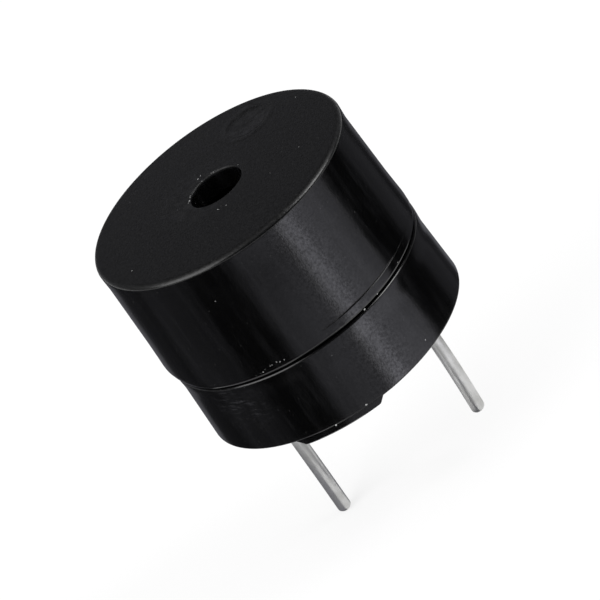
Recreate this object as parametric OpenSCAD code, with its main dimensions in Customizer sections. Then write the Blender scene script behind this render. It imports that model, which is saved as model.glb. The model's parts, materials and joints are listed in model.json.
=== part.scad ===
// Round board-mount piezo buzzer with a self-drive circuit.
// Millimetres. The origin is on the axis, in the plane of the board that the feet stand on.
// +Z points up to the sound port, and the two pins lie on the X axis and point down.

/* [Case] */
// Outside diameter of the cap at its lower band
case_d = 12; // [11.6:0.1:13]
// Height from the board to the top face
overall_h = 9.4; // [8.8:0.1:11]
// Height of the seam between base and cap above the board
seam_z = 3.7; // [3.4:0.1:4.2]
// Open gap of the seam
seam_gap = 0.08; // [0.04:0.01:0.2]
// Thickness of the top
top_t = 0.9; // [0.6:0.1:1.5]
// Thickness of the cap's wall beside the sound chamber, at its lower end
wall_t = 0.95; // [0.85:0.05:1.2]
// Thickness of the cap's skirt, which slips over the base
skirt_t = 0.55; // [0.45:0.05:0.7]
// Draft of the cap's wall, in degrees
cap_draft = 1; // [0.5:0.1:1.5]
// Rounding of the top edge
top_edge_r = 0.2; // [0.1:0.05:0.4]
// Rounding inside the corner of the sound chamber
chamber_edge_r = 0.4; // [0.2:0.1:1]
// Rounding of the cap's lower edge
skirt_edge_r = 0.12; // [0.05:0.01:0.2]
// Height of the band round the cap's lower end
band_h = 0.5; // [0.3:0.05:0.8]
// How far the band stands out from the wall
band_proud = 0.03; // [0.02:0.01:0.08]

/* [Sound port] */
// Diameter of the sound port
port_d = 2.4; // [1.6:0.1:3]
// Bevel round the port's outer edge
port_bevel = 0.06; // [0.03:0.01:0.2]
// Diameter of the round mould mark in the top
mark_d = 2; // [1:0.1:2.4]
// Depth of the mould mark
mark_depth = 0.04; // [0.02:0.01:0.1]
// Distance of the mould mark from the axis
mark_offset = 4.1; // [3.6:0.1:4.3]
// Direction of the mould mark, in degrees from the negative pin
mark_angle = 75; // [0:5:355]

/* [Base] */
// How much smaller than the cap the base is at its rim, per side
base_inset = 0.05; // [0:0.01:0.15]
// Draft of the base's wall, in degrees
base_draft = 1.6; // [0.5:0.1:2]
// Wall thickness round the board, at the base's neck
base_wall_t = 0.72; // [0.6:0.02:0.9]
// Height of the lip under the seam
lip_h = 0.45; // [0.3:0.05:0.8]
// How far the lip stands out from the wall
lip_proud = 0.05; // [0.02:0.01:0.1]
// Rounding of the lip's upper edge
lip_edge_r = 0.1; // [0.05:0.01:0.2]
// Rounding of the rim's outer edge
rim_edge_r = 0.1; // [0.05:0.01:0.15]
// Height of the ring that enters the cap
spigot_h = 1.5; // [1.2:0.1:2]
// Wall thickness of that ring
spigot_t = 0.7; // [0.6:0.05:0.8]
// Lead-in bevel on the ring's outer edge
lead_in = 0.12; // [0.05:0.01:0.15]
// Clearance between the ring and the cap's skirt
spigot_clear = 0.03; // [0.02:0.01:0.06]
// Radius of the snap bead's section
bead_r = 0.15; // [0.1:0.01:0.2]
// How far the snap bead stands out from the ring
bead_proud = 0.08; // [0.05:0.01:0.1]
// Height of the snap bead above the seam
bead_rise = 0.75; // [0.6:0.05:0.9]
// Clearance round the bead in its groove
groove_clear = 0.04; // [0.02:0.01:0.06]

/* [Feet] */
// Height of the feet, which hold the rim off the board
foot_h = 0.3; // [0.2:0.05:0.5]
// Length of a foot where it meets the rim
foot_l = 4.1; // [2:0.1:4.5]
// Radial width of a foot
foot_w = 0.55; // [0.4:0.05:0.6]
// How far a foot is set in from the rim's outer edge
foot_inset = 0.1; // [0.05:0.01:0.15]
// Turn of the feet from square to the pins, in degrees
foot_turn = 8; // [-15:1:15]

/* [Pins] */
// Pin diameter
pin_d = 0.6; // [0.5:0.05:0.8]
// Distance between the pins
pin_pitch = 7.6; // [7.4:0.1:7.8]
// Length of the positive pin below the board seat
positive_l = 6.7; // [4:0.1:10]
// Length of the negative pin below the board seat
negative_l = 5.1; // [3:0.1:10]
// Bevel of the pin tips
tip_bevel = 0.1; // [0.05:0.01:0.2]
// Thickness of the tin on a pin's outer length
tin_t = 0.02; // [0.01:0.01:0.04]

/* [Transducer] */
// Depth of the seat that takes the brass plate
seat_depth = 0.35; // [0.3:0.05:0.5]
// Width of the seat under the plate's edge
seat_lip_t = 0.3; // [0.25:0.05:0.35]
// Clearance round the plate in its seat
plate_clear = 0.05; // [0.03:0.01:0.1]
// Thickness of the brass plate
plate_t = 0.15; // [0.1:0.01:0.2]
// Diameter of the ceramic disc
ceramic_d = 7.5; // [7.2:0.1:7.7]
// Thickness of the ceramic disc
ceramic_t = 0.15; // [0.1:0.01:0.25]
// Margin of bare ceramic round the silver
silver_margin = 0.25; // [0.15:0.05:0.4]
// Thickness of the silver
silver_t = 0.02; // [0.01:0.01:0.03]
// Width of the feedback tongue
tongue_w = 1.4; // [1:0.1:1.8]
// Length of the feedback tongue
tongue_l = 2; // [1.6:0.1:2.4]
// Bare gap round the feedback tongue
tongue_gap = 0.3; // [0.2:0.05:0.4]
// Width of the silicone bead on the plate's edge
adhesive_w = 0.3; // [0.2:0.05:0.5]
// Gap over the silicone bead
adhesive_gap = 0.04; // [0.02:0.01:0.08]

/* [Circuit] */
// Thickness of the circuit board
board_t = 0.8; // [0.6:0.1:1]
// Clearance round the board
board_clear = 0.05; // [0.03:0.01:0.1]
// Clearance round a pin in its board hole
hole_clear = 0.08; // [0.05:0.01:0.12]
// Thickness of the copper
copper_t = 0.04; // [0.03:0.01:0.07]
// Width of a copper track
track_w = 0.3; // [0.2:0.05:0.4]
// Diameter of a pin's copper land
pin_land_d = 1.5; // [1.4:0.1:1.7]
// Diameter of a lead's copper land
lead_land_d = 0.7; // [0.6:0.05:0.8]
// Reach of the solder round a pin
pin_solder_r = 0.4; // [0.3:0.05:0.42]
// Length of a pin above its solder
pin_head_l = 0.1; // [0.05:0.05:0.3]
// Reach of the solder round a lead
lead_solder_r = 0.2; // [0.15:0.01:0.22]
// Diameter of a lead
lead_d = 0.16; // [0.1:0.02:0.2]
// Sideways step of a lead between the board and the disc
lead_step = 0.8; // [0.7:0.05:0.9]
// Bend radius of a lead
lead_bend_r = 0.3; // [0.25:0.01:0.34]

/* [Resin] */
// How far the resin lies inside the rim
resin_recess = 0.35; // [0.3:0.05:0.5]
// Thickness of the resin under the board
resin_t = 0.9; // [0.6:0.1:1]
// Radius at which the resin creeps up the wall and the pins
resin_creep = 0.22; // [0.1:0.02:0.28]

/* [Hidden] */
$fn = 96;

// Overlap that a cut needs past a face
cut = 0.5;

// Radii, from the outside in
case_r = case_d / 2;
rim_r = case_r - base_inset;
socket_r = case_r - skirt_t;
spigot_r = socket_r - spigot_clear;
seat_r = spigot_r - seat_lip_t;
plate_r = seat_r - plate_clear;
throat_r = spigot_r - spigot_t;
chamber_r = case_r - wall_t;
ceramic_r = ceramic_d / 2;
silver_r = ceramic_r - silver_margin;
pin_r = pin_d / 2;
wire_r = pin_r - tin_t;
lead_r = lead_d / 2;

// Heights, from the board up
rim_z = foot_h;
resin_z = rim_z + resin_recess;
board_z = resin_z + resin_t;
board_top_z = board_z + board_t;
copper_top_z = board_top_z + copper_t;
cap_z = seam_z + seam_gap;
bead_z = seam_z + bead_rise;
spigot_top_z = seam_z + spigot_h;
seat_z = spigot_top_z - seat_depth;
plate_top_z = seat_z + plate_t;
ceramic_z = seat_z - ceramic_t;
silver_z = ceramic_z - silver_t;
pin_top_z = copper_top_z + pin_solder_r + pin_head_l;

// The base's neck, bore and lip follow from its drafted wall
lip_z = seam_z - lip_h;
neck_r = rim_r - (lip_z - rim_z) * tan(base_draft);
bore_r = neck_r - base_wall_t;
lip_r = neck_r + lip_proud;
board_r = bore_r - board_clear;

// Outer radius of the cap's drafted wall at a height
function cap_r(z) = case_r - band_proud - (z - cap_z) * tan(cap_draft);

// Circuit layout on the board, seen from above
positive_at = [-pin_pitch / 2, 0];
negative_at = [pin_pitch / 2, 0];
transistor_at = [0, 1.2];
load_at = [-2.2, 2.4];
bias_at = [-1.9, -1.3];
feedback_at = [0.9, -1.3];
drive_land = [1.6, 2.9];
plate_land = [3.2, 2.6];
feedback_land = [1.65, -2.9];

// Chip resistor sizes
chip_l = 1.6;
chip_w = 0.8;
chip_h = 0.45;
chip_end_l = 0.3;
chip_end_t = 0.02;
chip_land_l = 0.7;
chip_land_w = 0.9;
chip_reach = chip_l / 2 + 0.05;

// Transistor sizes
transistor_l = 2.9;
transistor_w = 1.3;
transistor_h = 0.9;
transistor_lift = 0.05;
transistor_bevel = 0.1;
leg_w = 0.4;
leg_t = 0.12;
leg_pitch = 0.95;
leg_rise = 0.45;
leg_knee = 0.2;
leg_foot_l = 0.4;
leg_land_l = 0.7;
leg_land_w = 0.6;
leg_reach = transistor_w / 2 + leg_knee + leg_foot_l / 2;

// Leg places on the board
base_leg = transistor_at + [-leg_pitch, -leg_reach];
emitter_leg = transistor_at + [leg_pitch, -leg_reach];
collector_leg = transistor_at + [0, leg_reach];

// Direction of a point from the axis, in degrees
function bearing(at) = atan2(at[1], at[0]);

// Each lead steps from its land on the board to its point on the disc in one direction
drive_turn = bearing(drive_land) + 180;
feedback_turn = bearing(feedback_land) + 180;
plate_turn = bearing(plate_land) + 90;
leads = [
    [drive_land, drive_turn, silver_z],
    [feedback_land, feedback_turn, silver_z],
    [plate_land, plate_turn, seat_z]
];

// Sections of the case, turned about the axis

// Outside of the cap
module cap_outside() {
    edge_z = overall_h - top_edge_r;
    edge_x = cap_r(edge_z) - top_edge_r;
    skirt_x = case_r - skirt_edge_r;
    skirt_z = cap_z + skirt_edge_r;
    band_z = cap_z + band_h;
    polygon([
        [0, cap_z], [skirt_x, cap_z], [skirt_x, skirt_z], [case_r, skirt_z], [case_r, band_z],
        [cap_r(band_z + band_proud), band_z + band_proud], [cap_r(edge_z), edge_z],
        [edge_x, edge_z], [edge_x, overall_h], [0, overall_h]
    ]);
    translate([skirt_x, skirt_z]) circle(r = skirt_edge_r);
    translate([edge_x, edge_z]) circle(r = top_edge_r);
}

// Sound chamber, the socket for the base and the groove for the snap bead
module cap_inside() {
    ceiling_z = overall_h - top_t;
    corner_x = chamber_r - chamber_edge_r;
    corner_z = ceiling_z - chamber_edge_r;
    translate([0, cap_z - cut]) square([socket_r, spigot_top_z - cap_z + cut]);
    translate([0, cap_z]) square([chamber_r, corner_z - cap_z]);
    translate([0, cap_z]) square([corner_x, ceiling_z - cap_z]);
    translate([corner_x, corner_z]) circle(r = chamber_edge_r);
    translate([spigot_r + bead_proud - bead_r, bead_z]) circle(r = bead_r + groove_clear);
}

// Sound port with its bevelled outer edge
module port_section() {
    port_r = port_d / 2;
    polygon([
        [0, overall_h - top_t - cut], [port_r, overall_h - top_t - cut],
        [port_r, overall_h - port_bevel], [port_r + port_bevel, overall_h],
        [port_r + port_bevel, overall_h + cut], [0, overall_h + cut]
    ]);
}

// Outside of the base with its lip, spigot and snap bead
module base_outside() {
    rim_x = rim_r - rim_edge_r;
    lip_x = lip_r - lip_edge_r;
    polygon([
        [0, rim_z], [rim_x, rim_z], [rim_x, rim_z + rim_edge_r], [rim_r, rim_z + rim_edge_r],
        [neck_r, lip_z - lip_proud], [lip_r, lip_z], [lip_r, seam_z - lip_edge_r],
        [lip_x, seam_z - lip_edge_r], [lip_x, seam_z], [spigot_r, seam_z],
        [spigot_r, spigot_top_z - lead_in], [spigot_r - lead_in, spigot_top_z], [0, spigot_top_z]
    ]);
    translate([rim_x, rim_z + rim_edge_r]) circle(r = rim_edge_r);
    translate([lip_x, seam_z - lip_edge_r]) circle(r = lip_edge_r);
    translate([spigot_r + bead_proud - bead_r, bead_z]) circle(r = bead_r);
}

// Board bore, throat and plate seat of the base
module base_inside() {
    translate([0, rim_z - cut]) square([bore_r, board_top_z - rim_z + cut]);
    translate([0, rim_z]) square([throat_r, seat_z - rim_z]);
    translate([0, seat_z]) square([seat_r, seat_depth + cut]);
}

// Foot under the rim, with bevelled ends
module foot() {
    outer_r = rim_r - foot_inset;
    half_l = foot_l / 2;
    root = 0.2;
    intersection() {
        difference() {
            cylinder(r = outer_r, h = foot_h + root);
            translate([0, 0, -cut]) cylinder(r = outer_r - foot_w, h = foot_h + root + 2 * cut);
        }
        rotate([90, 0, 0])
            linear_extrude(case_r)
                polygon([
                    [-half_l + foot_h, 0], [half_l - foot_h, 0], [half_l, foot_h], [half_l, foot_h + root],
                    [-half_l, foot_h + root], [-half_l, foot_h]
                ]);
    }
}

// Ring with a hollow flank, as solder or resin climbs a pin or a wire
module climb(inner_r, reach) {
    rotate_extrude()
        translate([inner_r, 0])
            difference() {
                square(reach);
                translate([reach, reach]) circle(r = reach);
            }
}

// Quarter bend from straight down at the origin to straight along +X
module lead_bend() {
    translate([lead_bend_r, 0, 0])
        mirror([1, 0, 0])
            rotate([90, 0, 0])
                rotate_extrude(angle = 90)
                    translate([lead_bend_r, 0]) circle(r = lead_r, $fn = 32);
}

// Own frame of a lead: the origin under its land, and +X along its sideways step
module lead_frame(land, turn) {
    translate([land[0], land[1], 0])
        rotate([0, 0, turn]) children();
}

// Lead from a land up to the disc: up, one step sideways, and up again
module lead(land, turn, end_z) {
    middle_z = (copper_top_z + end_z) / 2;
    low_z = middle_z - lead_bend_r;
    high_z = middle_z + lead_bend_r;
    lead_frame(land, turn) {
        translate([0, 0, copper_top_z]) cylinder(r = lead_r, h = low_z - copper_top_z, $fn = 32);
        translate([0, 0, low_z]) lead_bend();
        translate([lead_bend_r, 0, middle_z])
            rotate([0, 90, 0]) cylinder(r = lead_r, h = lead_step - 2 * lead_bend_r, $fn = 32);
        translate([lead_step, 0, high_z]) rotate([0, 180, 0]) lead_bend();
        translate([lead_step, 0, high_z]) cylinder(r = lead_r, h = end_z - high_z, $fn = 32);
    }
}

// Round pin, tinned from its bevelled tip up to the rim and bare wire inside the case
module pin(length) {
    shank_z = tip_bevel - length;
    translate([0, 0, shank_z]) cylinder(r = pin_r, h = rim_z - shank_z);
    translate([0, 0, -length]) cylinder(r1 = pin_r - tip_bevel, r2 = pin_r, h = tip_bevel);
    translate([0, 0, rim_z]) cylinder(r = wire_r, h = pin_top_z - rim_z);
}

// Chip resistor on its two lands, along X
module chip() {
    end_h = chip_h + chip_end_t;
    translate([-chip_l / 2, -chip_w / 2, copper_top_z]) cube([chip_l, chip_w, chip_h]);
    for (side = [-1, 1])
        translate([side * (chip_l - chip_end_l) / 2, 0, copper_top_z + end_h / 2])
            cube([chip_end_l, chip_w + 2 * chip_end_t, end_h], center = true);
}

// One bent leg, from the transistor's side down to its land, along +Y
module leg() {
    side_y = transistor_w / 2;
    foot_y = side_y + leg_knee;
    translate([-leg_w / 2, 0, copper_top_z])
        rotate([90, 0, 90])
            linear_extrude(leg_w)
                polygon([
                    [side_y, leg_rise], [foot_y - leg_t, leg_rise], [foot_y - leg_t, 0], [foot_y + leg_foot_l, 0],
                    [foot_y + leg_foot_l, leg_t], [foot_y, leg_t], [foot_y, leg_rise + leg_t],
                    [side_y, leg_rise + leg_t]
                ]);
}

// Copper track through a list of points
module track(path) {
    for (i = [0 : len(path) - 2]) {
        run = path[i + 1] - path[i];
        translate(path[i])
            rotate(bearing(run))
                translate([0, -track_w / 2]) square([norm(run), track_w]);
    }
    for (at = path)
        translate(at) circle(d = track_w, $fn = 32);
}

// Lands of one chip resistor
module chip_lands(at) {
    for (side = [-1, 1])
        translate(at + [side * chip_reach, 0]) square([chip_land_l, chip_land_w], center = true);
}

// Land of one transistor leg
module leg_land(at) {
    translate(at) square([leg_land_w, leg_land_l], center = true);
}

// Tongue of the feedback electrode, widened by a gap
module tongue(gap) {
    rotate(bearing(feedback_land))
        translate([silver_r - tongue_l - gap, -tongue_w / 2 - gap])
            square([tongue_l + gap + cut, tongue_w + 2 * gap]);
}

// Sub-parts

module upper_case() {
    color([0.09, 0.09, 0.095])
        difference() {
            rotate_extrude()
                difference() {
                    cap_outside();
                    cap_inside();
                    port_section();
                }
            rotate([0, 0, mark_angle])
                translate([mark_offset, 0, overall_h - mark_depth])
                    cylinder(d = mark_d, h = mark_depth + cut);
        }
}

module lower_case() {
    color([0.08, 0.08, 0.085]) {
        rotate_extrude()
            difference() {
                base_outside();
                base_inside();
            }
        for (turn = [0, 180])
            rotate([0, 0, turn + foot_turn]) foot();
    }
}

module adhesive_ring() {
    bead_h = spigot_top_z - adhesive_gap - plate_top_z;
    round_r = min(adhesive_w, bead_h) / 2;
    inner_r = plate_r - adhesive_w;
    color([0.85, 0.85, 0.82])
        rotate_extrude()
            translate([0, plate_top_z]) {
                translate([inner_r + round_r, 0]) square([seat_r - inner_r - round_r, bead_h]);
                translate([inner_r, 0]) square([round_r, bead_h - round_r]);
                translate([inner_r + round_r, bead_h - round_r]) circle(r = round_r);
            }
}

module diaphragm_plate() {
    color([0.8, 0.64, 0.3])
        translate([0, 0, seat_z]) cylinder(r = plate_r, h = plate_t);
}

module piezo_ceramic() {
    color([0.87, 0.85, 0.75])
        translate([0, 0, ceramic_z]) cylinder(r = ceramic_r, h = ceramic_t);
}

module drive_electrode() {
    color([0.75, 0.75, 0.74])
        translate([0, 0, silver_z])
            linear_extrude(silver_t)
                difference() {
                    circle(r = silver_r);
                    tongue(tongue_gap);
                }
}

module feedback_electrode() {
    color([0.75, 0.75, 0.74])
        translate([0, 0, silver_z])
            linear_extrude(silver_t)
                intersection() {
                    circle(r = silver_r);
                    tongue(0);
                }
}

module circuit_board() {
    color([0.12, 0.4, 0.22])
        translate([0, 0, board_z])
            difference() {
                cylinder(r = board_r, h = board_t);
                for (at = [positive_at, negative_at])
                    translate([at[0], at[1], -cut]) cylinder(r = pin_r + hole_clear, h = board_t + 2 * cut);
            }
}

module board_copper() {
    chip_step = [chip_reach, 0];
    color([0.78, 0.45, 0.25])
        translate([0, 0, board_top_z])
            linear_extrude(copper_t)
                difference() {
                    union() {
                        for (at = [positive_at, negative_at])
                            translate(at) circle(d = pin_land_d);
                        for (at = [load_at, bias_at, feedback_at])
                            chip_lands(at);
                        for (at = [base_leg, emitter_leg, collector_leg])
                            leg_land(at);
                        for (at = [drive_land, plate_land, feedback_land])
                            translate(at) circle(d = lead_land_d);
                        track([positive_at, load_at - chip_step]);
                        track([positive_at, bias_at - chip_step]);
                        track([load_at + chip_step, collector_leg, drive_land]);
                        track([base_leg, bias_at + chip_step, feedback_at - chip_step]);
                        track([feedback_at + chip_step, feedback_land]);
                        track([emitter_leg, negative_at, plate_land]);
                    }
                    for (at = [positive_at, negative_at])
                        translate(at) circle(r = pin_r + hole_clear);
                }
}

module transistor_body() {
    half_w = transistor_w / 2;
    top_h = transistor_h - transistor_bevel;
    color([0.13, 0.13, 0.14])
        translate([transistor_at[0] - transistor_l / 2, transistor_at[1], copper_top_z + transistor_lift])
            rotate([90, 0, 90])
                linear_extrude(transistor_l)
                    polygon([
                        [-half_w, 0], [half_w, 0], [half_w, top_h], [half_w - transistor_bevel, transistor_h],
                        [transistor_bevel - half_w, transistor_h], [-half_w, top_h]
                    ]);
}

module transistor_legs() {
    color([0.72, 0.72, 0.72])
        translate([transistor_at[0], transistor_at[1], 0]) {
            leg();
            for (side = [-1, 1])
                translate([side * leg_pitch, 0, 0]) rotate([0, 0, 180]) leg();
        }
}

module bias_resistor() {
    color([0.18, 0.18, 0.19]) translate([bias_at[0], bias_at[1], 0]) chip();
}

module load_resistor() {
    color([0.18, 0.18, 0.19]) translate([load_at[0], load_at[1], 0]) chip();
}

module feedback_resistor() {
    color([0.18, 0.18, 0.19]) translate([feedback_at[0], feedback_at[1], 0]) chip();
}

module drive_lead() {
    color([0.72, 0.42, 0.22]) lead(drive_land, drive_turn, silver_z);
}

module feedback_lead() {
    color([0.72, 0.42, 0.22]) lead(feedback_land, feedback_turn, silver_z);
}

module plate_lead() {
    color([0.72, 0.42, 0.22]) lead(plate_land, plate_turn, seat_z);
}

module pin_solder() {
    color([0.78, 0.78, 0.8])
        for (at = [positive_at, negative_at])
            translate([at[0], at[1], copper_top_z]) climb(wire_r, pin_solder_r);
}

module lead_solder() {
    color([0.78, 0.78, 0.8])
        for (item = leads)
            lead_frame(item[0], item[1]) {
                translate([0, 0, copper_top_z]) climb(lead_r, lead_solder_r);
                translate([lead_step, 0, item[2]]) mirror([0, 0, 1]) climb(lead_r, lead_solder_r);
            }
}

module positive_pin() {
    color([0.7, 0.7, 0.69]) translate([positive_at[0], positive_at[1], 0]) pin(positive_l);
}

module negative_pin() {
    color([0.7, 0.7, 0.69]) translate([negative_at[0], negative_at[1], 0]) pin(negative_l);
}

module potting_resin() {
    creep_x = bore_r - resin_creep;
    creep_z = resin_z - resin_creep;
    color([0.05, 0.05, 0.055])
        difference() {
            union() {
                rotate_extrude() {
                    translate([0, resin_z]) square([bore_r, resin_t]);
                    difference() {
                        translate([creep_x, creep_z]) square(resin_creep);
                        translate([creep_x, creep_z]) circle(r = resin_creep);
                    }
                }
                for (at = [positive_at, negative_at])
                    translate([at[0], at[1], resin_z]) mirror([0, 0, 1]) climb(wire_r, resin_creep);
            }
            for (at = [positive_at, negative_at])
                translate([at[0], at[1], -cut]) cylinder(r = wire_r, h = board_z + 2 * cut);
        }
}

upper_case();
lower_case();
adhesive_ring();
diaphragm_plate();
piezo_ceramic();
drive_electrode();
feedback_electrode();
circuit_board();
board_copper();
transistor_body();
transistor_legs();
bias_resistor();
load_resistor();
feedback_resistor();
drive_lead();
feedback_lead();
plate_lead();
pin_solder();
lead_solder();
positive_pin();
negative_pin();
potting_resin();
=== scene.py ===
"""Looks of a round board-mount piezo buzzer: moulded black case, tinned pins, plain white studio."""

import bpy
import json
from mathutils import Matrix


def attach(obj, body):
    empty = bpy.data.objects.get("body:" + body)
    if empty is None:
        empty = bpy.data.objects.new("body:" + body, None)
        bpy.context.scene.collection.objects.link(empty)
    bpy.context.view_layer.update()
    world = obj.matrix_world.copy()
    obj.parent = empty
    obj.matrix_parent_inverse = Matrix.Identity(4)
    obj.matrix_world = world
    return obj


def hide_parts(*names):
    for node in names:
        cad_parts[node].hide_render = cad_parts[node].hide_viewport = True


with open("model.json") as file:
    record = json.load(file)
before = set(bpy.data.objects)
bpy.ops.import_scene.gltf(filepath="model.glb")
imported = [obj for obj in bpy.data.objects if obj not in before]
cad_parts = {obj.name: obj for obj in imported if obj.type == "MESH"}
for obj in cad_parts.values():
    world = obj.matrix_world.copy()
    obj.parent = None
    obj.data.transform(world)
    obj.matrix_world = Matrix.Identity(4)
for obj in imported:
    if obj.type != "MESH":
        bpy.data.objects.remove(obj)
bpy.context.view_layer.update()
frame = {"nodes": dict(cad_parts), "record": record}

import json
import math
import random

import bmesh
import bpy
from mathutils import Matrix, Vector

MM = 0.001
dice = random.Random(12)

# Camera, fitted to the photo: angles in degrees, lengths in millimetres
EYE_AZIMUTH = -66.0
EYE_ELEVATION = 26.0
EYE_DISTANCE = 305.8
EYE_ROLL = 36.55
LENS = 451.5
SENSOR_W = 36.0
AIM_R = 0.037
AIM_AZIMUTH = 100
AIM_Z = 3.042

# Sizes in millimetres: the CAD part's, but edges, port and pin lengths follow the photo more closely
CASE_R = 6.0
TOP_Z = 9.4
CAP_Z = 3.78
BAND_TOP = 4.28
BAND_PROUD = 0.03
BAND_EDGE = 0.03
CAP_SLOPE = math.tan(math.radians(1.0))
TOP_EDGE = 0.23
SKIRT_EDGE = 0.18
SOCKET_R = 5.45
SPIGOT_TOP = 5.2
CHAMBER_R = 5.05
CEILING_Z = 8.5
CHAMBER_EDGE = 0.4
PORT_R = 1.22
PORT_BEVEL = 0.04
MARK_R = 1.0
MARK_DEPTH = 0.04
MARK_SLOPE = 0.08
MARK_FOOT = 0.02
MARK_FOOT_DEPTH = 0.03
MARK_LIP = 0.01
MARK_AT_R = 4.1
MARK_AZIMUTH = 75.0
MARK_X = MARK_AT_R * math.cos(math.radians(MARK_AZIMUTH))
MARK_Y = MARK_AT_R * math.sin(math.radians(MARK_AZIMUTH))
CUTTER_OVER = 0.3
RIM_R = 5.95
RIM_Z = 0.3
RIM_EDGE = 0.08
NECK_R = 5.8676
NECK_Z = 2.75
LIP_R = 5.9176
LIP_EDGE = 0.1
SEAM_Z = 3.7
SPIGOT_R = 5.42
LEAD_IN = 0.12
SEAT_R = 5.12
SEAT_Z = 4.85
THROAT_R = 4.72
BOARD_TOP = 2.35
BORE_R = 5.1476
FOOT_L = 4.1
FOOT_TURN = 8.0
FOOT_W = 0.55
FOOT_R = 5.82
FOOT_EDGE = 0.06
FOOT_CORNER = 0.10
FOOT_ROOT = 0.10
PIN_X = 3.8
PIN_R = 0.3
PIN_TIP_INSET = 0.1
PIN_TIP_EDGE = 0.04
PIN_TIP_L = 0.18
PIN_TIP_CURVE = ((0.03, 0.075), (0.008, 0.12), (0.0, PIN_TIP_L))
PIN_STEP = 0.03
PIN_STEP_EDGE = 0.006
WIRE_R = 0.28
PIN_TOP = 2.89
POSITIVE_L = 6.65
NEGATIVE_L = 5.05
FLOOR_Z = -6.7

# How the photo's case departs from a round one: millimetres, degrees from the eye's direction, and
# the least part of the band that shows
LEFT = -90.0
RIGHT = 90.0
LEFT_SPAN = 35.0
RIGHT_SPAN = 30.0
CAP_OUTER_R = CASE_R - 0.3
BASE_OUTER_R = 5.7
BAND_RISE = 14.0
BAND_FADE_END = 52.0
BAND_FADE = 18.0
BAND_LEAST = 0.12
BAND_END = 150.0
CORNER_CUT = 0.23
CORNER_H = 0.32
SWELL_LEFT = 0.025
SWELL_RIGHT = 0.035
SWELL_Z = 4.5
SWELL_H = 0.4
FLARE = 0.03
FLARE_RIGHT = 0.03
FLARE_Z = 8.55
FLARE_H = 0.6
CAP_LEAN = 0.03
CAP_LEAN_H = 4.7
CAP_GROWTH = 0.02
BASE_LEAN = 0.03
BASE_LEAN_Z = 0.5
BASE_LEAN_H = 2.5
LIP_PULL = 0.03
LIP_PULL_Z = 2.8
LIP_PULL_H = 0.4
LIP_SPAN = 40.0
RIM_LIFT = 0.09
RIM_LIFT_H = 0.6
RIM_LIFT_TURN = -48.0
RIM_LIFT_SPAN = 56.25

# Sideways bow of the pins: millimetres per square millimetre below the rim
LONG_BOW = 0.0023
SHORT_BOW = 0.0078

# Millimetres from an edge to the extra ring of points that keeps the shading beside it even
TOP_RING = 0.03
WALL_RING = 0.05
BAND_RING = 0.08
SKIRT_RING = 0.06
PORT_RING = 0.04
RIM_RING = 0.07

# Dust and burrs. Grains on the wall: azimuth, height, size. Grains on the top: radius, azimuth, size
WALL_GRAINS = (
    (-69.4, 0.44, 0.042), (-83.8, 0.38, 0.038), (-93.5, 7.8, 0.022), (-96.7, 6.0, 0.024),
    (-84, 5.4, 0.024), (-75.6, 8.74, 0.022), (-113, 8.9, 0.022), (-23.5, 3.97, 0.024),
    (-34.5, 0.76, 0.026), (-40, 3.86, 0.026), (-48, 3.8, 0.04),
)
TOP_GRAINS = (
    (5.0, -136, 0.024), (4.0, -1, 0.022), (5.3, 50, 0.022), (1.95, -80, 0.022), (2.03, -69, 0.02),
    (1.62, 128, 0.030), (1.70, 122, 0.024), (1.25, -173, 0.036), (1.31, -168, 0.026),
)
GRAIN_SLOPE = 0.028
BURRS = 9
BURR_AZIMUTH = -98
BURR_STEP = 1.7
BURR_Z = 4.02
BURR_RISE = 0.02
PORT_CRUMBS = 10
PORT_CRUMB_SINK = 0.005
CRUMB_FLATNESS = 0.5

# Fineness of the meshes, angles of sharp edges in degrees, and tolerances in millimetres
CASE_SEGMENTS = 288
PIN_SEGMENTS = 96
MARK_SEGMENTS = 90
FOOT_COLUMNS = 24
SHARP_ANGLE = 28.0
CRUMB_SHARP_ANGLE = 60.0
TOUCH = 0.01
ON_AXIS = 1e-6


def on_case(radius, azimuth, z):
    """Point in metres at a radius, a direction in degrees and a height in millimetres."""
    turn = math.radians(azimuth)
    return Vector((radius * math.cos(turn), radius * math.sin(turn), z)) * MM


def turn_from_eye(point):
    """Direction of a point from the case's axis, in degrees from the eye's direction."""
    return (math.degrees(math.atan2(point.y, point.x)) - EYE_AZIMUTH + 180) % 360 - 180


def share(value):
    """Value kept between 0 and 1."""
    return max(0.0, min(1.0, value))


def beside(turn, centre, span):
    """1 at a direction, falling to 0 at a span from it."""
    return max(0.0, 1 - abs(turn - centre) / span)


# Meshes

def arc(centre, radius, start, end, steps):
    """Points of an arc in a section, from one angle in degrees to another."""
    points = []
    for i in range(steps + 1):
        turn = math.radians(start + (end - start) * i / steps)
        points.append((centre[0] + radius * math.cos(turn), centre[1] + radius * math.sin(turn)))
    return points


def spread(start, end, steps):
    """Points between two section points, without the ends."""
    return [(start[0] + (end[0] - start[0]) * i / steps, start[1] + (end[1] - start[1]) * i / steps)
            for i in range(1, steps)]


def shade_smooth(mesh, sharp):
    """Shades a mesh smooth except at edges sharper than an angle in degrees."""
    for face in mesh.polygons:
        face.use_smooth = True
    mesh.set_sharp_from_angle(angle=math.radians(sharp))


def mesh_object(name, bm, sharp=SHARP_ANGLE):
    """Smoothly shaded object from a bmesh."""
    mesh = bpy.data.meshes.new(name)
    bmesh.ops.recalc_face_normals(bm, faces=bm.faces)
    bm.to_mesh(mesh)
    bm.free()
    shade_smooth(mesh, sharp)
    obj = bpy.data.objects.new(name, mesh)
    bpy.context.scene.collection.objects.link(obj)
    return obj


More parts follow.
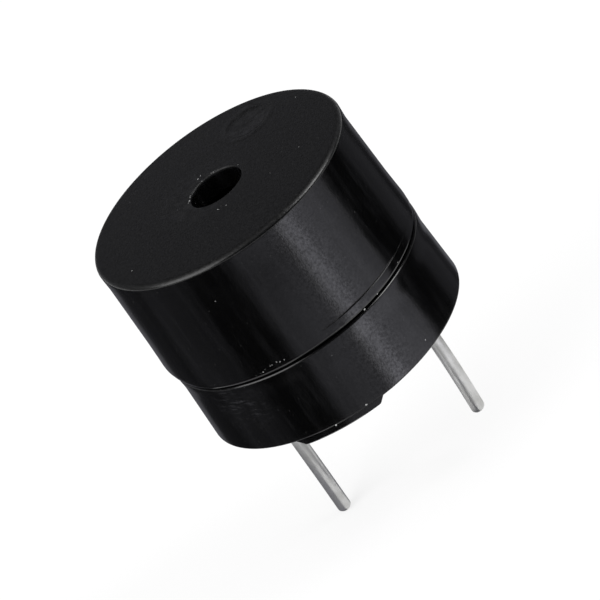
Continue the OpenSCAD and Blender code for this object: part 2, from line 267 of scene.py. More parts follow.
def combine(obj, other, operation):
    """Cuts another mesh out of an object or joins it to it, and drops the other."""
    step = obj.modifiers.new("combine", "BOOLEAN")
    step.object = other
    step.operation = operation
    step.solver = "EXACT"
    bpy.context.view_layer.update()
    made = bpy.data.meshes.new_from_object(obj.evaluated_get(bpy.context.evaluated_depsgraph_get()))
    obj.modifiers.clear()
    obj.data = made
    bpy.data.objects.remove(other)
    bm = bmesh.new()
    bm.from_mesh(made)
    many_sided = [face for face in bm.faces if len(face.verts) > 4]
    bmesh.ops.triangulate(bm, faces=many_sided, ngon_method="BEAUTY")
    bm.to_mesh(made)
    bm.free()
    shade_smooth(made, SHARP_ANGLE)


def lathe(bm, section, segments=CASE_SEGMENTS, centre=(0.0, 0.0), closed=True):
    """Turns a section of (radius, height) points in millimetres about an upright axis."""
    rings = []
    for radius, z in section:
        if radius < ON_AXIS:
            rings.append([bm.verts.new(Vector((centre[0], centre[1], z)) * MM)])
            continue
        ring = []
        for i in range(segments):
            turn = 2 * math.pi * i / segments
            ring.append(bm.verts.new(Vector((centre[0] + radius * math.cos(turn),
                                             centre[1] + radius * math.sin(turn), z)) * MM))
        rings.append(ring)
    pairs = list(zip(rings, rings[1:]))
    if closed:
        pairs.append((rings[-1], rings[0]))
    for low, high in pairs:
        for i in range(segments):
            j = (i + 1) % segments
            if len(low) == 1:
                bm.faces.new((low[0], high[i], high[j]))
            elif len(high) == 1:
                bm.faces.new((low[i], low[j], high[0]))
            else:
                bm.faces.new((low[i], low[j], high[j], high[i]))


def cap_wall(z):
    """Outer radius of the drafted cap at a height."""
    return CASE_R - BAND_PROUD - (z - CAP_Z) * CAP_SLOPE


def grain_radius(z):
    """Radius for a grain at a height: on the cap or its band, or close to the base's tapered wall."""
    if z > BAND_TOP:
        return cap_wall(z)
    if z > CAP_Z:
        return CASE_R
    return RIM_R - (z - RIM_Z) * GRAIN_SLOPE


def cap_section():
    """Section of the cap: from the port out over the top, down the wall and back up inside."""
    port_x = PORT_R + PORT_BEVEL
    port_z = TOP_Z - PORT_BEVEL
    edge_z = TOP_Z - TOP_EDGE
    edge_x = cap_wall(edge_z) - TOP_EDGE
    skirt_z = CAP_Z + SKIRT_EDGE
    points = [(port_x, TOP_Z), (port_x + TOP_RING, TOP_Z)]
    points += spread((port_x, TOP_Z), (edge_x, TOP_Z), steps=8)
    points += [(edge_x - TOP_RING, TOP_Z)]
    points += arc((edge_x, edge_z), TOP_EDGE, 90, -1, steps=12)
    points += [(cap_wall(edge_z - WALL_RING), edge_z - WALL_RING)]
    points += spread((cap_wall(edge_z), edge_z), (cap_wall(BAND_TOP), BAND_TOP), steps=8)
    points += [(cap_wall(BAND_TOP + up), BAND_TOP + up) for up in (BAND_RING, BAND_EDGE)]
    points += arc((CASE_R - BAND_EDGE, BAND_TOP - BAND_EDGE), BAND_EDGE, 80, 0, steps=5)
    points += [(CASE_R, BAND_TOP - BAND_RING), (CASE_R, skirt_z + SKIRT_RING)]
    points += arc((CASE_R - SKIRT_EDGE, skirt_z), SKIRT_EDGE, 0, -90, steps=10)
    points += [(SOCKET_R, CAP_Z), (SOCKET_R, SPIGOT_TOP), (CHAMBER_R, SPIGOT_TOP)]
    points += arc((CHAMBER_R - CHAMBER_EDGE, CEILING_Z - CHAMBER_EDGE), CHAMBER_EDGE, 0, 90, steps=8)
    points += [(PORT_R, CEILING_Z), (PORT_R, port_z - PORT_RING), (PORT_R, port_z)]
    return points


def mark_section():
    """Section of the cutter for the shallow mark: flat floor, sloping side, and a stretch over the top."""
    floor_z = TOP_Z - MARK_DEPTH
    side_x = MARK_R + MARK_SLOPE
    over_z = TOP_Z + CUTTER_OVER
    return [(0.0, floor_z), (MARK_R - MARK_SLOPE, floor_z), (MARK_R - MARK_FOOT, TOP_Z - MARK_FOOT_DEPTH),
            (side_x, TOP_Z + MARK_LIP), (side_x, over_z), (0.0, over_z)]


def base_section():
    """Section of the base: from the bore out under the rim, up the wall and down inside."""
    lip_x = LIP_R - LIP_EDGE
    lip_z = SEAM_Z - LIP_EDGE
    points = [(BORE_R, RIM_Z), (RIM_R - RIM_EDGE - RIM_RING, RIM_Z)]
    points += arc((RIM_R - RIM_EDGE, RIM_Z + RIM_EDGE), RIM_EDGE, -90, 0, steps=8)
    points += spread((RIM_R, RIM_Z + RIM_EDGE), (NECK_R, NECK_Z), steps=8)
    neck_steps = 15
    for i in range(neck_steps):
        t = i / neck_steps
        outwards = (LIP_R - NECK_R) * t * t * (3 - 2 * t)
        points.append((NECK_R + outwards, NECK_Z + (lip_z - NECK_Z) * t))
    points += arc((lip_x, lip_z), LIP_EDGE, 0, 90, steps=10)
    points += [(lip_x - WALL_RING, SEAM_Z), (SPIGOT_R, SEAM_Z), (SPIGOT_R, SPIGOT_TOP - LEAD_IN)]
    points += [(SPIGOT_R - LEAD_IN, SPIGOT_TOP), (SEAT_R, SPIGOT_TOP), (SEAT_R, SEAT_Z), (THROAT_R, SEAT_Z)]
    points += [(THROAT_R, BOARD_TOP), (BORE_R, BOARD_TOP)]
    return points


def pin_section(length):
    """Section of a pin: softly cropped end, tinned length up to the rim, and bare wire above it."""
    tip_x = PIN_R - PIN_TIP_INSET
    tip_z = -length
    step_z = RIM_Z - PIN_STEP
    points = [(0.0, tip_z), (tip_x - PIN_TIP_EDGE, tip_z)]
    points += arc((tip_x - PIN_TIP_EDGE / 2, tip_z + PIN_TIP_EDGE), PIN_TIP_EDGE, -80, -45, steps=4)
    points += [(PIN_R - inset, tip_z + up) for inset, up in PIN_TIP_CURVE]
    points += spread((PIN_R, tip_z + PIN_TIP_L), (PIN_R, step_z), steps=30)
    points += [(PIN_R, step_z), (PIN_R - PIN_STEP_EDGE, RIM_Z - PIN_STEP_EDGE)]
    points += [(WIRE_R, RIM_Z), (WIRE_R, PIN_TOP), (0.0, PIN_TOP)]
    return points


def foot(bm, side):
    """Adds one foot under the rim at +Y or -Y, with sloping ends and a root inside the rim."""
    half = FOOT_L / 2 - RIM_Z
    rows = [(0.0, half - FOOT_CORNER), (FOOT_EDGE / 2, half), (FOOT_EDGE, half + FOOT_EDGE / 2),
            (RIM_Z + FOOT_ROOT, FOOT_L / 2 + FOOT_ROOT)]
    turned = Matrix.Rotation(math.radians(FOOT_TURN), 3, "Z")
    walls = []
    for radius, edge in ((FOOT_R, FOOT_EDGE), (FOOT_R - FOOT_W, 0.0)):
        wall = []
        for z, end in rows:
            line = []
            inset = edge * max(0.0, 1 - z / FOOT_EDGE)
            for i in range(FOOT_COLUMNS + 1):
                x = end * (2 * i / FOOT_COLUMNS - 1)
                y = side * (math.sqrt(radius ** 2 - x ** 2) - inset)
                line.append(bm.verts.new(turned @ Vector((x, y, z)) * MM))
            wall.append(line)
        walls.append(wall)
    outer, inner = walls
    for i in range(FOOT_COLUMNS):
        for wall in walls:
            for low, high in zip(wall, wall[1:]):
                bm.faces.new((low[i], low[i + 1], high[i + 1], high[i]))
        for k in (0, len(rows) - 1):
            bm.faces.new((outer[k][i], outer[k][i + 1], inner[k][i + 1], inner[k][i]))
    for i in (0, FOOT_COLUMNS):
        for k in range(len(rows) - 1):
            bm.faces.new((outer[k][i], outer[k + 1][i], inner[k + 1][i], inner[k][i]))


def crumb(bm, at, normal, size):
    """Adds a small irregular crumb that sits on a surface, for dust and moulding burrs."""
    turn = normal.to_track_quat("Z", "Y").to_matrix().to_4x4()
    spin = Matrix.Rotation(dice.uniform(0, 6.28), 4, "Z")
    shape = Matrix.Diagonal((dice.uniform(0.7, 1.3), dice.uniform(0.6, 1.1), CRUMB_FLATNESS, 1.0))
    made = bmesh.ops.create_icosphere(bm, subdivisions=2, radius=size * MM,
                                      matrix=Matrix.Translation(at) @ turn @ spin @ shape)
    for vert in made["verts"]:
        vert.co = at + (vert.co - at) * dice.uniform(0.8, 1.2)


def wall_crumb(bm, at, size):
    """Adds a crumb on the case's wall."""
    crumb(bm, at, Vector((at.x, at.y, 0.0)).normalized(), size)


def top_crumb(bm, at, size):
    """Adds a crumb on the cap's top."""
    crumb(bm, at, Vector((0, 0, 1)), size)


# Materials: noise scales are per millimetre, bump depths in millimetres

class Shader:
    """Small helper that builds one node material."""

    def __init__(self, name):
        self.material = bpy.data.materials.new(name)
        self.material.use_nodes = True
        self.tree = self.material.node_tree
        self.tree.nodes.clear()
        self.output = self.node("ShaderNodeOutputMaterial")
        coords = self.node("ShaderNodeTexCoord")
        self.mm = self.node("ShaderNodeMapping", {"Vector": coords.outputs["Object"],
                                                  "Scale": (1 / MM, 1 / MM, 1 / MM)}).outputs[0]

    def node(self, kind, inputs=None, **settings):
        """New node with its settings, and with values or links on its inputs."""
        made = self.tree.nodes.new(kind)
        for key, value in settings.items():
            setattr(made, key, value)
        for key, value in (inputs or {}).items():
            socket = made.inputs[key]
            if isinstance(value, bpy.types.NodeSocket):
                self.tree.links.new(value, socket)
            else:
                socket.default_value = value
        return made

    def noise(self, scale, detail=3.0, rough=0.55, vector=None):
        return self.node("ShaderNodeTexNoise", {"Vector": vector or self.mm, "Scale": scale,
                                                "Detail": detail, "Roughness": rough}).outputs[0]

    def stretch(self, scale):
        """Place in millimetres with a scale for each axis."""
        return self.node("ShaderNodeMapping", {"Vector": self.mm, "Scale": scale}).outputs[0]

    def ramp(self, value, low, high, start, end):
        """Value between low and high, taken to the range start to end."""
        return self.node("ShaderNodeMapRange", {"Value": value, "From Min": low, "From Max": high,
                                                "To Min": start, "To Max": end}).outputs[0]

    def math(self, operation, a, b=0.0):
        return self.node("ShaderNodeMath", {0: a, 1: b}, operation=operation).outputs[0]

    def blend(self, factor, a, b):
        """Colour a where the factor is 0 and b where it is 1."""
        return self.node("ShaderNodeMix", {0: factor, 6: a, 7: b}, data_type="RGBA").outputs[2]

    def measure(self, operation, vector):
        """Number that a vector operation gives for the place in millimetres and a fixed vector."""
        made = self.node("ShaderNodeVectorMath", {0: self.mm, 1: vector}, operation=operation)
        return made.outputs["Value"]

    def along(self, azimuth):
        """Distance from the case's axis in a direction, in millimetres."""
        return self.measure("DOT_PRODUCT", on_case(1 / MM, azimuth, 0.0))

    def near(self, point, inner, outer):
        """Mask that falls from 1 at the inner distance from a point to 0 at the outer one."""
        return self.ramp(self.measure("DISTANCE", point), inner, outer, 1.0, 0.0)

    def bump(self, height, depth, before=None):
        inputs = {"Height": height, "Distance": depth * MM, "Strength": 1.0}
        if before:
            inputs["Normal"] = before
        return self.node("ShaderNodeBump", inputs).outputs[0]

    def specks(self, scale, radius, part):
        """Mask of round specks: cells per millimetre, radius in millimetres, part of the cells used."""
        cells = self.node("ShaderNodeTexVoronoi", {"Vector": self.mm, "Scale": scale, "Randomness": 1.0})
        spot = self.ramp(cells.outputs["Distance"], radius * scale * 0.6, radius * scale, 1.0, 0.0)
        channel = self.node("ShaderNodeSeparateColor", {0: cells.outputs["Color"]}).outputs[0]
        return self.math("MULTIPLY", spot, self.math("LESS_THAN", channel, part))

    def principled(self, inputs):
        """Finishes the material with a principled shader."""
        shader = self.node("ShaderNodeBsdfPrincipled", inputs)
        self.tree.links.new(shader.outputs[0], self.output.inputs["Surface"])
        return self.material


def grey(level, blue=1.0):
    """Grey of a level, with its blue made stronger or weaker."""
    return (level, level, level * blue, 1.0)


def wall_grain(s):
    """Strength of the wall's grain: full along the bright streak at the front right, weak elsewhere."""
    front = s.along(EYE_AZIMUTH + 12)
    from_streak = s.math("ABSOLUTE", s.along(EYE_AZIMUTH + 103))
    streak = s.ramp(from_streak, 0.4, 1.3, 1.0, 0.25)
    return s.math("MULTIPLY", streak, s.ramp(front, 1.5, 5.0, 0.08, 1.0))


def matte_top(s, rough, normal, colour):
    """Gives the cap's top its matte grain, worn mark and rubbed place, and leaves the wall as it is."""
    grain = s.noise(7.5, 4.0, 0.65)
    height = s.node("ShaderNodeSeparateXYZ", {0: s.mm}).outputs[2]
    top = s.ramp(height, TOP_Z - 0.16, TOP_Z - 0.03, 0.0, 1.0)
    top_rough = s.ramp(grain, 0.3, 0.7, 0.45, 0.65)
    rough = s.node("ShaderNodeMix", {0: top, 2: rough, 3: top_rough}, data_type="FLOAT").outputs[0]
    marked = s.near((MARK_X, MARK_Y, TOP_Z), MARK_R - 0.15, MARK_R + 0.35)
    lumps = s.math("ADD", grain, s.math("MULTIPLY", s.noise(2.2, 3.0), 0.7))
    mark_lumps = s.math("MULTIPLY", s.noise(1.3, 2.0), 8.0)
    lumps = s.math("ADD", lumps, s.math("MULTIPLY", marked, mark_lumps))
    pits = s.bump(lumps, 0.014)
    normal = s.node("ShaderNodeMix", {0: top, 4: normal, 5: pits}, data_type="VECTOR").outputs[1]
    mottle = s.ramp(s.noise(10.0, 3.0, 0.75), 0.40, 0.70, 0.0, 1.0)
    top_colour = s.blend(mottle, grey(0.0004, 1.1), grey(0.0068, 1.1))
    worn = s.math("MULTIPLY", marked, s.ramp(s.noise(1.7, 3.0), 0.42, 0.66, 0.0, 0.8))
    rubbed = s.near(on_case(0.7, EYE_AZIMUTH - 120, TOP_Z) / MM, 1.1, 2.4)
    rubbed = s.math("MULTIPLY", rubbed, s.ramp(s.noise(3.0, 4.0), 0.42, 0.65, 0.0, 0.7))
    worn = s.math("MAXIMUM", worn, rubbed)
    colour = s.blend(top, colour, s.blend(worn, top_colour, grey(0.0100, 1.1)))
    return rough, normal, colour


def scuffed_side(s, colour):
    """Adds fine level scuffs at the base's front left."""
    rubbed = s.near(on_case(5.9, EYE_AZIMUTH - 50, 2.6) / MM, 0.5, 1.5)
    strokes = s.ramp(s.noise(1.0, 4.0, 0.65, s.stretch((1.6, 1.6, 7.0))), 0.52, 0.68, 0.0, 0.5)
    return s.blend(s.math("MULTIPLY", rubbed, strokes), colour, grey(0.030, 1.1))


def black_plastic(name, is_cap):
    """Moulded black plastic: satin wall with scuffs and dust, a matte top on the cap."""
    s = Shader(name)
    cloud = s.noise(0.45, 4.0)
    scuff = s.noise(1.0, 5.0, 0.6, s.stretch((2.6, 2.6, 0.22)))
    lines = s.noise(1.0, 2.0, 0.5, s.stretch((13.0, 13.0, 0.45)))
    dust = s.math("MULTIPLY", s.specks(1.5, 0.024, 0.4), 0.5)
    fine_dust = s.math("MULTIPLY", s.specks(4.5, 0.018, 0.25), 0.22)
    speck = s.math("MAXIMUM", dust, fine_dust)
    grain = wall_grain(s)
    rough = s.ramp(s.math("ADD", cloud, s.math("MULTIPLY", scuff, 0.6)), 0.45, 1.1, 0.12, 0.24)
    wall = s.bump(s.math("MULTIPLY", s.noise(14.0, 2.0, 0.6), grain), 0.0048)
    normal = s.bump(cloud, 0.012, wall)
    colour = s.blend(s.ramp(scuff, 0.5, 0.85, 0.0, 1.0), grey(0.0008, 1.1), grey(0.0042, 1.12))
    colour = s.blend(s.ramp(lines, 0.70, 0.85, 0.0, 0.6), colour, grey(0.012, 1.1))
    if is_cap:
        rough, normal, colour = matte_top(s, rough, normal, colour)
    else:
        colour = scuffed_side(s, colour)
    colour = s.blend(speck, colour, grey(0.22))
    rough = s.math("MAXIMUM", rough, s.math("MULTIPLY", speck, 0.8))
    gloss = s.ramp(s.noise(9.0, 3.0, 0.7), 0.3, 0.7, -0.24, 0.24)
    gloss = s.math("MULTIPLY", gloss, s.ramp(grain, 0.2, 1.0, 0.3, 1.0))
    gloss = s.math("ADD", gloss, 0.5)
    return s.principled({"Base Color": colour, "Roughness": rough, "Normal": normal,
                         "Specular IOR Level": gloss})


def tinned(name, level):
    """Drawn and tinned wire: fine lines along it, dull patches and small dark marks."""
    s = Shader(name)
    lines = s.noise(1.0, 3.0, 0.6, s.stretch((16.0, 16.0, 0.7)))
    dull = s.noise(1.6, 4.0)
    marks = s.specks(3.0, 0.05, 0.25)
    rough = s.ramp(s.math("ADD", lines, dull), 0.7, 1.3, 0.28, 0.46)
    colour = s.blend(s.ramp(dull, 0.35, 0.7, 0.0, 1.0), grey(level, 0.99), grey(level * 0.82, 0.97))
    colour = s.blend(s.math("MULTIPLY", marks, 0.5), colour, grey(level * 0.4))
    normal = s.bump(lines, 0.006)
    return s.principled({"Base Color": colour, "Metallic": 1.0, "Roughness": rough, "Normal": normal})


def plain(name, colour, other, metallic, low, high, scale, depth):
    """Grained material between two colours, with roughness from low to high."""
    s = Shader(name)
    cloud = s.noise(scale, 4.0)
    grain = s.noise(scale * 6, 3.0)
    mixed = s.blend(s.ramp(cloud, 0.3, 0.7, 0.0, 1.0), (*colour, 1.0), (*other, 1.0))
    return s.principled({"Base Color": mixed, "Metallic": metallic, "Normal": s.bump(grain, depth),
                         "Roughness": s.ramp(grain, 0.3, 0.7, low, high)})


cap_black = black_plastic("cap_black", True)
base_black = black_plastic("base_black", False)
pin_metal = tinned("pin_metal", 0.61)
dust_grey = plain("dust_grey", (0.34, 0.34, 0.34), (0.18, 0.18, 0.18), 0.0, 0.6, 0.9, 6.0, 0.004)


# Pieces seen from outside, made finer than the CAD mesh

def band_shown(turn):
    """Part of the proud band that shows: none at the left, all at the front right, little beyond."""
    if turn < RIGHT:
        return share(min(turn / BAND_RISE, max(BAND_LEAST, (BAND_FADE_END - turn) / BAND_FADE)))
    return max(0.0, BAND_LEAST * (BAND_END - turn) / (BAND_END - RIGHT))


def shape_cap(bm):
    """Fades the band out and gives the cap's wall the small departures from round that the photo shows."""
    for vert in bm.verts:
        flat = math.hypot(vert.co.x, vert.co.y) / MM
        z = vert.co.z / MM
        if flat < CAP_OUTER_R or z < CAP_Z - TOUCH:
            continue
        turn = turn_from_eye(vert.co)
        radius = flat
        if z < BAND_TOP + TOUCH:
            shown = band_shown(turn)
            plain_wall = cap_wall(z) if z > CAP_Z + SKIRT_EDGE else flat - CASE_R + cap_wall(z)
            radius = flat * shown + plain_wall * (1 - shown)
        on_left = beside(turn, LEFT, LEFT_SPAN)
        on_right = beside(turn, RIGHT, RIGHT_SPAN)
        radius -= CORNER_CUT * max(0.0, 1 - (z - CAP_Z) / CORNER_H) * on_left
        swell = SWELL_LEFT * on_left + SWELL_RIGHT * on_right
        radius += swell * math.exp(-((z - SWELL_Z) / SWELL_H) ** 2)
        radius += (FLARE + FLARE_RIGHT * on_right) * share((z - FLARE_Z) / FLARE_H)
        low = max(0.0, 1 - (z - CAP_Z) / CAP_LEAN_H)
        stretch = (radius + CAP_GROWTH * low) / flat
        lean = on_case(CAP_LEAN * low, EYE_AZIMUTH + LEFT, 0.0)
        vert.co = Vector((vert.co.x * stretch, vert.co.y * stretch, vert.co.z)) + lean


def shape_base(bm):
    """Lifts the base's rim at the front left and leans its wall to the right, as the photo shows."""
    for vert in bm.verts:
        z = vert.co.z / MM
        turn = turn_from_eye(vert.co)
        away = min(1.0, abs(turn - RIM_LIFT_TURN) / RIM_LIFT_SPAN)
        lift = RIM_LIFT * math.cos(math.pi / 2 * away) * max(0.0, 1 - (z - RIM_Z) / RIM_LIFT_H)
        vert.co.z += lift * MM
        if math.hypot(vert.co.x, vert.co.y) > BASE_OUTER_R * MM:
            lean = BASE_LEAN * share((z - BASE_LEAN_Z) / BASE_LEAN_H)
            lean += LIP_PULL * beside(turn, LEFT, LIP_SPAN) * share((z - LIP_PULL_Z) / LIP_PULL_H)
            vert.co += on_case(lean, EYE_AZIMUTH + RIGHT, 0.0)


def make_cap():
    """Cap with the shallow mark cut into its top."""
    bm = bmesh.new()
    lathe(bm, cap_section())
    shape_cap(bm)
    made = mesh_object("cap", bm)
    bm = bmesh.new()
    lathe(bm, mark_section(), MARK_SEGMENTS, (MARK_X, MARK_Y), False)
    combine(made, mesh_object("mark_cutter", bm), "DIFFERENCE")
    return made


def make_base():
    """Base with its two feet."""
    bm = bmesh.new()
    lathe(bm, base_section())
    shape_base(bm)
    made = mesh_object("base", bm)
    for side in (-1, 1):
        bm = bmesh.new()
        foot(bm, side)
        combine(made, mesh_object("foot", bm), "UNION")
    return made


def make_pin(name, x, length, bow):
    """Pin that bows to the left below the rim."""
    bm = bmesh.new()
    lathe(bm, pin_section(length), PIN_SEGMENTS, (x, 0.0), False)
    for vert in bm.verts:
        below = max(0.0, RIM_Z - vert.co.z / MM)
        vert.co += on_case(bow * below ** 2, EYE_AZIMUTH + LEFT, 0.0)
    return mesh_object(name, bm)


def make_specks():
    """Grains on the wall, a row of burrs above the seam, crumbs round the port and grains on the top."""
    bm = bmesh.new()
    for azimuth, z, size in WALL_GRAINS:
        wall_crumb(bm, on_case(grain_radius(z), azimuth, z), size)
    for i in range(BURRS):
        azimuth = BURR_AZIMUTH + BURR_STEP * i + dice.uniform(-0.6, 0.6)
        z = BURR_Z + BURR_RISE * i + dice.uniform(-0.06, 0.06)
        wall_crumb(bm, on_case(CASE_R, azimuth, z), dice.uniform(0.012, 0.026))
    for i in range(PORT_CRUMBS):
        azimuth = dice.choice((dice.uniform(90, 220), dice.uniform(0, 360)))
        at = on_case(PORT_R + dice.uniform(0.0, 0.09), azimuth, TOP_Z - PORT_CRUMB_SINK)
        top_crumb(bm, at, dice.uniform(0.010, 0.028))
    for radius, azimuth, size in TOP_GRAINS:
        top_crumb(bm, on_case(radius, azimuth, TOP_Z), size)
    return mesh_object("specks", bm, CRUMB_SHARP_ANGLE)


cap = make_cap()
base = make_base()
long_pin = make_pin("long_pin", -PIN_X, POSITIVE_L, LONG_BOW)
short_pin = make_pin("short_pin", PIN_X, NEGATIVE_L, SHORT_BOW)
specks = make_specks()

for piece, node, slot, material in ((cap, "upper_case", "cap_plastic", cap_black),
                                    (base, "lower_case", "base_plastic", base_black),
                                    (long_pin, "positive_pin", "tinned_metal", pin_metal),
                                    (short_pin, "negative_pin", "tinned_metal", pin_metal)):
    piece.data.materials.clear()
    piece.data.materials.append(material)
    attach(piece, "root")
    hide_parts(node)
specks.data.materials.append(dust_grey)
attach(specks, "root")

# CAD pieces that stay. The finish of each slot: two colours, metallic, least and most roughness,
# noise scale, bump depth
FINISHES = {
    "silicone": ((0.74, 0.74, 0.70), (0.62, 0.62, 0.58), 0.0, 0.3, 0.5, 1.2, 0.004),
    "brass": ((0.72, 0.50, 0.19), (0.62, 0.42, 0.16), 1.0, 0.2, 0.36, 0.8, 0.003),
    "piezo_ceramic": ((0.74, 0.69, 0.54), (0.66, 0.62, 0.48), 0.0, 0.5, 0.7, 2.0, 0.004),
    "silver": ((0.78, 0.77, 0.75), (0.68, 0.67, 0.64), 1.0, 0.35, 0.55, 2.5, 0.004),
    "board_laminate": ((0.05, 0.21, 0.09), (0.04, 0.16, 0.07), 0.0, 0.25, 0.4, 1.5, 0.003),
    "copper": ((0.72, 0.36, 0.19), (0.60, 0.29, 0.15), 1.0, 0.25, 0.42, 2.0, 0.003),
    "chip_plastic": ((0.022, 0.022, 0.024), (0.034, 0.034, 0.036), 0.0, 0.4, 0.6, 3.0, 0.004),
    "chip_ceramic": ((0.03, 0.03, 0.033), (0.05, 0.05, 0.055), 0.0, 0.2, 0.4, 3.0, 0.003),
    "solder": ((0.70, 0.70, 0.72), (0.60, 0.60, 0.62), 1.0, 0.18, 0.35, 2.5, 0.004),
    "tinned_metal": ((0.64, 0.64, 0.63), (0.55, 0.55, 0.54), 1.0, 0.28, 0.45, 3.0, 0.003),
    "resin": ((0.004, 0.004, 0.0045), (0.009, 0.009, 0.010), 0.0, 0.16, 0.34, 1.1, 0.010),
}
finishes = {slot: plain(slot, *look) for slot, look in FINISHES.items()}
node_slots = {row["node"]: row["material_slot"] for row in frame["record"]["subparts"]}
for name, obj in frame["nodes"].items():
    if obj.hide_render:
        continue
    obj.data.materials.clear()
    obj.data.materials.append(finishes[node_slots[name]])


# Studio: reflection cards, dark tent, floor, two soft lamps, camera. Lengths in millimetres

# Reach of the cards on the floor, out from the case's wall, and heights over the floor
CARD_NEAR = 10.0
CARD_SPLIT = 20.0
FRONT_FAR = 31.0
CARD_FAR = 90.0
CARD_OVER = 0.05
CARD_STEPS = 6
FLAG_OVER = 0.08
FLAG_STEP = 10

# Cards from left to right: the angles from the eye's direction that their images fill on the wall,
# then their level up to the split and beyond it
FRONT_START = -13.0
FRONT_END = 9.3
CARDS = (
    ("card_left_rim", -89.0, -76.0, 0.15, 0.15),
    ("card_left_far", -76.0, -58.0, 0.03, 0.036),
    ("card_left", -58.0, -35.0, 0.082, 0.10),
    ("flag_front_left", -35.0, FRONT_START, 0.006, 0.010),
    ("card_front_left", FRONT_START, -4.0, 0.37, 0.45),
    ("card_front", -4.0, FRONT_END, 0.49, 0.58),
    ("card_streak", 10.8, 17.0, 2.25, 1.88),
    ("card_right", 17.0, 24.0, 1.22, 0.97),
    ("card_right_mid", 24.0, 31.0, 1.06, 0.82),
    ("card_right_low", 31.0, 37.2, 0.86, 0.58),
    ("flag_right", 37.5, 56.0, 0.012, 0.006),
    ("card_right_dim", 56.0, 70.0, 0.085, 0.09),
    ("card_right_far", 70.0, 78.0, 0.035, 0.025),
    ("card_right_rim", 78.0, 89.0, 0.19, 0.13),
)

# Painted shadow: the case's shade on the floor under the pins, which only reflections in the pins see
# Dim fans under the pins: place of the pin, angles from the eye's direction, reach and level
PIN_SHADE_FANS = (
    ("painted_shade_long_pin", -PIN_X, -180, -20, 8.0, 0.24),
    ("painted_shade_long_pin_right", -PIN_X, 100, 150, 7.0, 0.24),
    ("painted_shade_short_pin", PIN_X, -60, -20, 10.0, 0.15),
    ("painted_shade_short_pin_left", PIN_X, -130, -60, 4.6, 0.17),
)
BACK_DISTANCE = 20.0
BACK_OVER = 0.5
BACK_HALF = 40.0
BACK_H = 7.0
BACK_LEVEL = 0.26
TENT_R = 800.0
TENT_FOOT = -10.0
TENT_LEVEL = 0.035
FLOOR_HALF = 1500.0
LAMPS_AIM_Z = 5


def emptied(name):
    """New node material without nodes."""
    material = bpy.data.materials.new(name)
    material.use_nodes = True
    material.node_tree.nodes.clear()
    return material


def glow(name, level):
    """Evenly lit material."""
    material = emptied(name)
    nodes = material.node_tree.nodes
    light = nodes.new("ShaderNodeEmission")
    light.inputs["Color"].default_value = grey(1.0, 1.1)
    light.inputs["Strength"].default_value = level
    out = nodes.new("ShaderNodeOutputMaterial")
    material.node_tree.links.new(light.outputs[0], out.inputs["Surface"])
    return material


def reflected(name, bm, level):
    """Makes an evenly lit object that is visible in reflections alone."""
    obj = mesh_object(name, bm)
    obj.data.materials.append(glow(name, level))
    obj.visible_camera = False
    obj.visible_diffuse = False
    obj.visible_shadow = False
    obj.visible_transmission = False
    obj.visible_volume_scatter = False


def card(name, start, end, level, inner, outer):
    """Card on the floor whose mirror image fills the wall between two angles from the eye's direction."""
    bm = bmesh.new()
    near, far = [], []
    for i in range(CARD_STEPS + 1):
        phi = start + (end - start) * i / CARD_STEPS
        under_wall = on_case(CASE_R, EYE_AZIMUTH + phi, FLOOR_Z + CARD_OVER)
        away = on_case(1.0, EYE_AZIMUTH + 2 * phi, 0.0)
        near.append(bm.verts.new(under_wall + away * inner))
        far.append(bm.verts.new(under_wall + away * outer))
    for i in range(CARD_STEPS):
        bm.faces.new((near[i], near[i + 1], far[i + 1], far[i]))
    reflected(name, bm, level)


def pin_shade_fan(name, x, start, end, reach, level):
    """Dim fan on the floor under a pin, between two angles from the eye's direction: a painted shadow."""
    bm = bmesh.new()
    centre = Vector((x * MM, 0.0, (FLOOR_Z + FLAG_OVER) * MM))
    turns = range(start, end + 1, FLAG_STEP)
    rim = [bm.verts.new(centre + on_case(reach, EYE_AZIMUTH + turn, 0.0)) for turn in turns]
    hub = bm.verts.new(centre)
    for a, b in zip(rim, rim[1:]):
        bm.faces.new((hub, a, b))
    reflected(name, bm, level)


def back_card():
    """Upright card behind the case, which the top mirrors."""
    bm = bmesh.new()
    middle = on_case(BACK_DISTANCE, EYE_AZIMUTH + 180, TOP_Z + BACK_OVER)
    across = on_case(BACK_HALF, EYE_AZIMUTH + RIGHT, 0.0)
    up = Vector((0.0, 0.0, BACK_H * MM))
    corners = (middle - across, middle + across, middle + across + up, middle - across + up)
    bm.faces.new([bm.verts.new(corner) for corner in corners])
    reflected("card_back", bm, BACK_LEVEL)


def dark_tent():
    """Dim dome over the studio."""
    bm = bmesh.new()
    bmesh.ops.create_uvsphere(bm, u_segments=48, v_segments=24, radius=TENT_R * MM)
    below = [vert for vert in bm.verts if vert.co.z < TENT_FOOT * MM]
    bmesh.ops.delete(bm, geom=below, context="VERTS")
    reflected("dark_tent", bm, TENT_LEVEL)


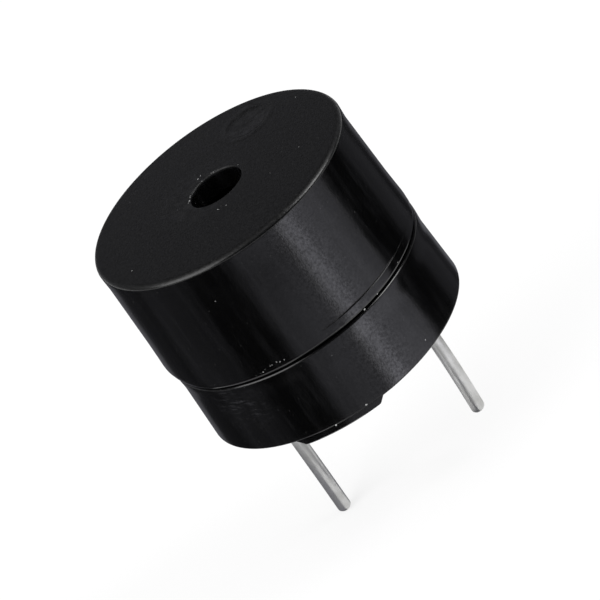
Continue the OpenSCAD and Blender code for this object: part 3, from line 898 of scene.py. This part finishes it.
def floor_white():
    """White paper that lights the part. Camera and reflections see it bright with a faint shadow,
    and from below it is clear."""
    material = emptied("floor_white")
    tree = material.node_tree

    def node(kind, **inputs):
        made = tree.nodes.new(kind)
        for key, value in inputs.items():
            made.inputs[key].default_value = value
        return made

    rays = node("ShaderNodeLightPath")
    paper = node("ShaderNodeBsdfDiffuse", Color=grey(0.8))
    faint = node("ShaderNodeBsdfDiffuse", Color=grey(0.22))
    lit = node("ShaderNodeEmission", Strength=0.72)
    seen = node("ShaderNodeAddShader")
    first = node("ShaderNodeMath")
    second = node("ShaderNodeMath")
    second.use_clamp = True
    choose = node("ShaderNodeMixShader")
    side_of = node("ShaderNodeNewGeometry")
    clear = node("ShaderNodeBsdfTransparent")
    one_sided = node("ShaderNodeMixShader")
    out = node("ShaderNodeOutputMaterial")
    for a, b in ((rays.outputs["Is Camera Ray"], first.inputs[0]),
                 (rays.outputs["Is Glossy Ray"], first.inputs[1]),
                 (first.outputs[0], second.inputs[0]),
                 (rays.outputs["Is Transmission Ray"], second.inputs[1]),
                 (second.outputs[0], choose.inputs[0]),
                 (paper.outputs[0], choose.inputs[1]),
                 (faint.outputs[0], seen.inputs[0]),
                 (lit.outputs[0], seen.inputs[1]),
                 (seen.outputs[0], choose.inputs[2]),
                 (side_of.outputs["Backfacing"], one_sided.inputs[0]),
                 (choose.outputs[0], one_sided.inputs[1]),
                 (clear.outputs[0], one_sided.inputs[2]),
                 (one_sided.outputs[0], out.inputs["Surface"])):
        tree.links.new(a, b)
    return material


def softbox(name, turn, elevation, distance, size, power):
    """Square lamp aimed at the case, at an angle from the eye's direction, in metres and watts."""
    data = bpy.data.lights.new(name, "AREA")
    data.size = size
    data.energy = power
    obj = bpy.data.objects.new(name, data)
    bpy.context.scene.collection.objects.link(obj)
    level = distance * math.cos(math.radians(elevation)) / MM
    obj.location = on_case(level, EYE_AZIMUTH + turn, distance * math.sin(math.radians(elevation)) / MM)
    obj.rotation_mode = "QUATERNION"
    obj.rotation_quaternion = (on_case(0, 0, LAMPS_AIM_Z) - obj.location).to_track_quat("-Z", "Y")


for name, start, end, near_level, level in CARDS:
    reach = FRONT_FAR if name.startswith("card_front") else CARD_FAR
    card(name + "_near", start, end, near_level, CARD_NEAR, CARD_SPLIT)
    card(name, start, end, level, CARD_SPLIT, reach)
card("flag_front_far", FRONT_START, FRONT_END, 0.26, FRONT_FAR, CARD_FAR)
# Painted shadow under the pins, seen only in their reflections
for row in PIN_SHADE_FANS:
    pin_shade_fan(*row)
back_card()
dark_tent()

bm = bmesh.new()
bmesh.ops.create_grid(bm, x_segments=1, y_segments=1, size=FLOOR_HALF * MM)
floor = mesh_object("floor", bm)
floor.location = (0.0, 0.0, FLOOR_Z * MM)
floor.data.materials.append(floor_white())

world = bpy.data.worlds.new("studio")
bpy.context.scene.world = world
world.use_nodes = True
background = world.node_tree.nodes["Background"]
background.inputs["Color"].default_value = grey(1.0)
background.inputs["Strength"].default_value = 0.9

softbox("lamp_left", -62.0, 32.0, 0.30, 0.27, 0.74)
softbox("lamp_right", 69.0, 34.0, 0.30, 0.15, 0.54)

camera = bpy.data.cameras.new("camera")
camera.lens = LENS
camera.sensor_width = SENSOR_W
camera.clip_start = 0.01
camera.clip_end = 10.0
view = bpy.data.objects.new("camera", camera)
bpy.context.scene.collection.objects.link(view)
bpy.context.scene.camera = view
aim = on_case(AIM_R, AIM_AZIMUTH, AIM_Z)
level_distance = EYE_DISTANCE * math.cos(math.radians(EYE_ELEVATION))
height = EYE_DISTANCE * math.sin(math.radians(EYE_ELEVATION))
view.location = aim + on_case(level_distance, EYE_AZIMUTH, height)
view.rotation_mode = "QUATERNION"
upright = (aim - view.location).to_track_quat("-Z", "Y")
view.rotation_quaternion = upright @ Matrix.Rotation(math.radians(-EYE_ROLL), 4, "Z").to_quaternion()

bpy.context.scene.view_settings.view_transform = "Standard"
